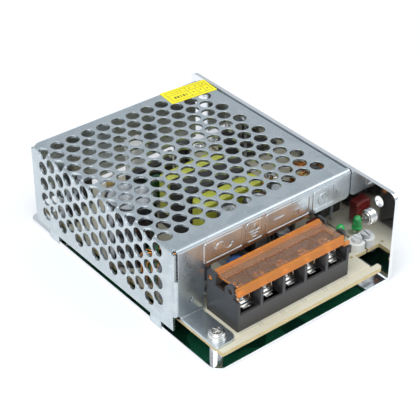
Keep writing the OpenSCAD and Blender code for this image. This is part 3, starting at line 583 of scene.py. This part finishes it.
def toroid(node_core, node_wind, mat_core, ranges, d):
    lo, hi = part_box(node_core)
    cx, cy = (lo[0] + hi[0]) * 500, (lo[1] + hi[1]) * 500
    z0, z1 = lo[2] * 1000, hi[2] * 1000
    ro = (hi[0] - lo[0]) * 500
    ri = ro * 0.53
    b = 0.6
    core = MB()
    prof = [(ri, z0 + b), (ri + b * 0.3, z0 + b * 0.3), (ri + b, z0), (ro - b, z0), (ro - b * 0.3, z0 + b * 0.3), (ro, z0 + b),
            (ro, z1 - b), (ro - b * 0.3, z1 - b * 0.3), (ro - b, z1), (ri + b, z1), (ri + b * 0.3, z1 - b * 0.3), (ri, z1 - b),
            (ri, z0 + b)]
    core.lathe(prof, 56, Matrix.Translation((cx, cy, 0)))
    core.obj(node_core + "_v", [mat_core], BODY[node_core], [node_core])
    wire = MB()
    rm, zm = (ro + ri) / 2, (z0 + z1) / 2
    for n, a0, a1 in ranges:
        for i in range(n):
            a = a0 + (a1 - a0) * i / (n - 1)
            xf = (Matrix.Translation((cx, cy, zm)) @ Matrix.Rotation(math.radians(a + random.uniform(-1.2, 1.2)), 4, "Z")
                  @ Matrix.Translation((rm, 0, 0)) @ Matrix.Rotation(math.radians(random.uniform(-2, 2)), 4, "X"))
            wire.tube(loop(ro - ri + d, z1 - z0 + d, d * 0.8), d / 2 * 0.96, 10, closed=True, xf=xf)
        for a in (a0, a1):
            # the ends run down to the board
            ar = math.radians(a)
            x, y = cx + (ro + d / 2) * math.cos(ar), cy + (ro + d / 2) * math.sin(ar)
            wire.tube([(x, y, z0 + 2), (x, y, z0 + 0.5), (x, y, ZT + 0.02)], d * 0.46, 10)
    wire.obj(node_wind + "_v", [copper], BODY[node_wind], [node_wind])


toroid("line_choke_core", "line_choke_winding", ring_green, [(8, -62, 62), (8, 118, 242)], 0.85)
toroid("output_choke_core", "output_choke_winding", ring_pale, [(15, 15, 345)], 1.05)

# ------------------------------------------------------------------ electrolytic capacitors

CANS = [(-27.5, 5.4, 18, 24, 15, 165), (-3, -18.6, 10, 20, -27, 200), (8.5, -18.6, 10, 20, 76, 250), (20, -18.6, 10, 20, 180, 215),
        (20, 38.5, 6.3, 11, 0, 100), (-22.6, 42, 6.3, 11, 90, 200), (-32.4, 36.6, 8, 11, 0, 180), (11.6, -28.6, 6.3, 11, 0, 230)]
CNODE = ["bulk_capacitor"] + ["output_capacitors"] * 3 + ["small_capacitors"] * 4
for k, (x, y, d, h, rot, sa) in enumerate(CANS):
    R = d / 2
    mb = MB()
    rim = min(0.9, R * 0.16)
    prof = [(0, 0.35), (R - 0.9, 0.35), (R - 0.75, 0.15), (R - 0.55, 0.05), (R - 0.25, 0.12), (R - 0.05, 0.4), (R, 0.8), (R, 1.8),
            (R - 0.12, 2.1), (R - 0.38, 2.35), (R - 0.45, 2.6), (R - 0.36, 2.85), (R - 0.1, 3.1), (R, 3.5)]
    nb = len(prof)
    prof += [(R, 3.5 + (h - 4.4) * i / 10) for i in range(1, 11)]
    prof += [(R, h - 0.7), (R - 0.1, h - 0.35), (R - 0.32, h - 0.1), (R - 0.6, h), (R - rim - 0.2, h), (R - rim - 0.32, h - 0.06)]
    n_sleeve = len(prof) - 1
    prof += [(R - rim - 0.36, h - 0.28), (R - rim - 0.7, h - 0.32), (R * 0.4, h - 0.26), (0, h - 0.24)]
    half = 26 if d > 8 else 30

    def pick(i, a, nb=nb, n_sleeve=n_sleeve, sa=sa, half=half):
        if i < 2:
            return 3
        if i >= n_sleeve:
            return 2
        da = abs((a - sa + 180) % 360 - 180)
        if da < half and 5 <= i < n_sleeve - 3:
            # dashes in the stripe
            if da < 8 and (i - nb) % 4 == 1 and nb <= i < nb + 10:
                return 0
            return 1
        return 0

    mb.lathe(prof, 64, None, pick=pick)
    # scored vent
    for a in ((0, 60, 120) if d > 8 else (0, 90)):
        xf = Matrix.Rotation(math.radians(a + rot), 4, "Z")
        mb.box(-R * 0.62, R * 0.62, -0.12, 0.12, h - 0.33, h - 0.17, 0.05, 4, xf, 1)
    # leads
    for s in (-1, 1):
        c = Matrix.Rotation(math.radians(rot), 4, "Z") @ Vector((s * d * 0.22, 0, 0))
        mb.tube([(c.x, c.y, 0.5), (c.x, c.y, -1), (c.x, c.y, ZB - ZT - 0.6)], 0.33, 10, 5)
    mb.obj("capacitor_%d" % (k + 1), [sleeve, stripe, can_top, bung, tab_metal, tinned], "case",
           [CNODE[k]], at=(x, y, ZT))

# ------------------------------------------------------------------ dipped discs, resistors, dipped blocks


def dipped(node, cx, cy, cz, r, t, dx, mat):
    mb = MB()
    prof = [(0, -t / 2), (r * 0.5, -t / 2)]
    for i in range(1, 12):
        a = math.pi * i / 12 - math.pi / 2
        prof.append((r * 0.72 + r * 0.28 * math.cos(a), t / 2 * math.sin(a)))
    prof += [(r * 0.5, t / 2), (0, t / 2)]
    mb.lathe(prof, 48, Matrix.Translation((cx, cy, cz)) @ Matrix.Rotation(math.pi / 2, 4, "X"), mat=0)
    for s in (-1, 1):
        x = cx + s * dx
        mb.tube([(x, cy, cz - r * 0.55), (x, cy, ZT + 2.6), (x, cy, ZB - 0.6)], 0.33, 10, 1)
        # lacquer run down the lead
        mb.lathe([(0, cz - r * 0.5), (1.0, cz - r * 0.55), (0.8, cz - r * 0.95), (0.5, cz - r * 1.12), (0.36, cz - r * 1.3), (0, cz - r * 1.32)],
                 14, Matrix.Translation((x, cy, 0)), mat=0)
    mb.obj(node + "_v", [mat, tinned], BODY[node], [node])


dipped("thermistor", -7.6, 18.4, ZT + 12, 5.4, 4.0, 3.4, green_dip)
dipped("disc_capacitor", -10.3, -29.6, ZT + 6.8, 4.2, 3.2, 2.5, blue)

mb = MB()
RES = [(10.6, 19), (10.6, 25), (-13.5, 38), (11.4, 38)]
for x, y in RES:
    z0, z1 = ZT + 0.6, ZT + 8.6
    prof = [(0, z0), (1.0, z0 + 0.05), (1.6, z0 + 0.25), (1.88, z0 + 0.8), (1.9, z0 + 1.5), (1.66, z0 + 2.0), (1.66, z0 + 2.6),
            (1.66, z0 + 3.2), (1.66, z0 + 3.8), (1.66, z0 + 4.4), (1.66, z0 + 5.0), (1.66, z0 + 5.6), (1.66, z1 - 2.0), (1.9, z1 - 1.5),
            (1.88, z1 - 0.8), (1.6, z1 - 0.25), (1.0, z1 - 0.05), (0, z1)]
    bands = {5: 2, 7: 3, 9: 4, 13: 5}
    mb.lathe(prof, 28, Matrix.Translation((x, y, 0)), pick=lambda i, a: bands.get(i, 0))
    top = ZT + 9.65
    path = [(x, y, z1 - 0.3), (x, y, top - 0.7)]
    for i in range(1, 9):
        a = math.pi * (1 - i / 8)
        path.append((x + 1.6 + 1.6 * math.cos(a), y, top - 0.7 + 0.95 * math.sin(a)))
    path += [(x + 3.2, y, ZT + 4), (x + 3.2, y, ZB - 0.6)]
    mb.tube(path, 0.33, 10, 1)
    mb.tube([(x, y, z0 + 0.3), (x, y, ZT - 0.4), (x, y, ZB - 0.6)], 0.33, 10, 1)
mb.obj("power_resistors_v", [tan, tinned] + band_cols, "case", ["power_resistors"])

from_cad("x_capacitor", 3.5e-4, [grey_box], segs=3)
from_cad("film_capacitor", 9e-4, [red], segs=4, ang=50)
from_cad("bridge_rectifier", 1.6e-4, [epoxy, tinned], lambda c, n: 1 if c.z < ZT + 2.95 else 0)


def pick_to220(c, n):
    if c.z < ZT + 4.35:
        return 1
    if c.x > 35.9 or c.z > ZT + 13.45:
        return 2
    return 0


from_cad("switching_transistor", 1.5e-4, [epoxy, tinned, tab_metal], pick_to220)
from_cad("output_rectifier", 1.5e-4, [epoxy, tinned, tab_metal], pick_to220)
for nd, bm_ in (("controller_chip", epoxy), ("optocoupler", white)):
    lo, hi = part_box(nd)
    y0, y1 = lo[1] * 1000 + 0.66, hi[1] * 1000 - 0.66
    from_cad(nd, 1.2e-4, [bm_, tinned], lambda c, n, y0=y0, y1=y1: 1 if (c.y < y0 or c.y > y1 or c.z < ZT + 0.45) else 0)
from_cad("fuse", 1.2e-4, [glass, plated], lambda c, n: 1 if (c.x < -29.9 or c.x > -20.1) else 0)
from_cad("fuse_clips", 1e-4, [tinned])
from_cad("ceramic_resistor", 3e-4, [ceramic, tinned], lambda c, n: 1 if c.z < ZT + 0.95 else 0)

# ------------------------------------------------------------------ print on the board and solder joints under it

pr = MB()
P0, P1 = ZT - 0.01, ZT + 0.022


def rect(x0, x1, y0, y1, w=0.18):
    pr.box(x0, x1, y0, y0 + w, P0, P1)
    pr.box(x0, x1, y1 - w, y1, P0, P1)
    pr.box(x0, x0 + w, y0 + w, y1 - w, P0, P1)
    pr.box(x1 - w, x1, y0 + w, y1 - w, P0, P1)


def circle(x, y, r, w=0.18):
    pr.lathe([(r - w, P0), (r, P0), (r, P1), (r - w, P1), (r - w, P0)], 48, Matrix.Translation((x, y, 0)))


for x, y, d, h, rot, sa in CANS:
    circle(x, y, d / 2 + 0.45)
rect(-36, -17, -26.8, -19.2)
rect(-35.6, -14.4, -33.2, -27.0)
rect(-15.6, 4.2, 22, 26.8)
rect(-6, 1.6, 33.2, 40.8)
rect(18.2, 28.6, 24.2, 32.2)
rect(22.8, 31, -32, -26.4)
rect(0, 6, -33.2, -24.8)
for x, y in RES:
    circle(x, y, 2.3)
circle(27, -3.4, 8.4)
for i in range(6):
    pr.box(-34.5 + 2.4 * i, -33.2 + 2.4 * i, 24.0, 24.5, P0, P1)
    pr.box(-34.5 + 2.4 * i, -33.6 + 2.4 * i, 21.0, 21.4, P0, P1)
rect(-35.4, -19.6, 17.8, 30.2)
rect(-17.6, -9.2, 28.6, 33.4)
pr.obj("board_print", [ink_grey], "case")

sj = MB()
joints = []
for x, y, d, h, rot, sa in CANS:
    for s in (-1, 1):
        c = Matrix.Rotation(math.radians(rot), 4, "Z") @ Vector((s * d * 0.22, 0, 0))
        joints.append((x + c.x, y + c.y))
joints += [(-13.3 + 5.08 * i, 24.3) for i in range(4)]
joints += [(34.55, t + i * 2.54) for t in (-20, 27.4) for i in (-1, 0, 1)]
joints += [(-10.3 + s * 2.5, -29.6) for s in (-1, 1)] + [(-7.6 + s * 3.4, 18.4) for s in (-1, 1)]
joints += [(x, 37) for x in (-4, -0.4)]
joints += [(x + e, y) for x, y in RES for e in (0, 3.2)]
joints += [(33.4 + s * 1.27, -34.6) for s in (-1, 1)]
joints += [(3.5 - 10 + 5 * i, 0.75 + s * 12) for i in range(5) for s in (-1, 1)]
joints += [(c, -38.05) for c in (-21.15, -11.65, -2.15, 7.35, 16.85)]
for x, y in joints:
    f = random.uniform(0.9, 1.1)
    sj.lathe([(0, ZB + 0.05), (0.98 * f, ZB + 0.02), (1.0 * f, ZB - 0.04), (0.72 * f, ZB - 0.28), (0.45, ZB - 0.62), (0.36, ZB - 0.95), (0.2, ZB - 1.08), (0, ZB - 1.1)],
             16, Matrix.Translation((x, y, 0)))
sj.obj("solder_joints", [solder], "case")

# ------------------------------------------------------------------ stage, lights, camera

fl = bpy.data.meshes.new("floor")
fl.from_pydata([(-4, -4, 0), (4, -4, 0), (4, 4, 0), (-4, 4, 0)], [], [(0, 1, 2, 3)])
g = G("floor")
sn = g.noise(3, 2)
fl.materials.append(g.out(base=g.ramp(sn, (0.3, (0.90, 0.90, 0.90)), (0.7, (0.92, 0.92, 0.92))), rough=0.9, spec=0.0))
flo = bpy.data.objects.new("floor", fl)
scene.collection.objects.link(flo)

world = bpy.data.worlds.new("studio")
scene.world = world
world.use_nodes = True
bg = world.node_tree.nodes["Background"]
bg.inputs[0].default_value = (0.60, 0.64, 0.68, 1)
bg.inputs[1].default_value = 1.0


def area(name, loc, size, power, target=(0, 0, 0)):
    l = bpy.data.lights.new(name, "AREA")
    l.energy = power
    l.size = size
    o = bpy.data.objects.new(name, l)
    scene.collection.objects.link(o)
    o.location = loc
    o.rotation_euler = (Vector(target) - Vector(loc)).to_track_quat("-Z", "Y").to_euler()
    return o


area("key", (-0.55, -0.35, 1.25), 1.1, 14)
area("fill", (0.9, -0.7, 0.9), 0.8, 3.0)

scene.view_settings.view_transform = "Standard"
scene.view_settings.look = "None"

cam = bpy.data.cameras.new("camera")
co = bpy.data.objects.new("camera", cam)
scene.collection.objects.link(co)
scene.camera = co
co.location = (-0.2298, -0.2882, 0.2740)
co.rotation_euler = Vector((0.517, 0.641, -0.568)).normalized().to_track_quat("-Z", "Y").to_euler()
cam.lens = 109.4
cam.sensor_width = 36
cam.clip_start = 0.01
cam.clip_end = 12
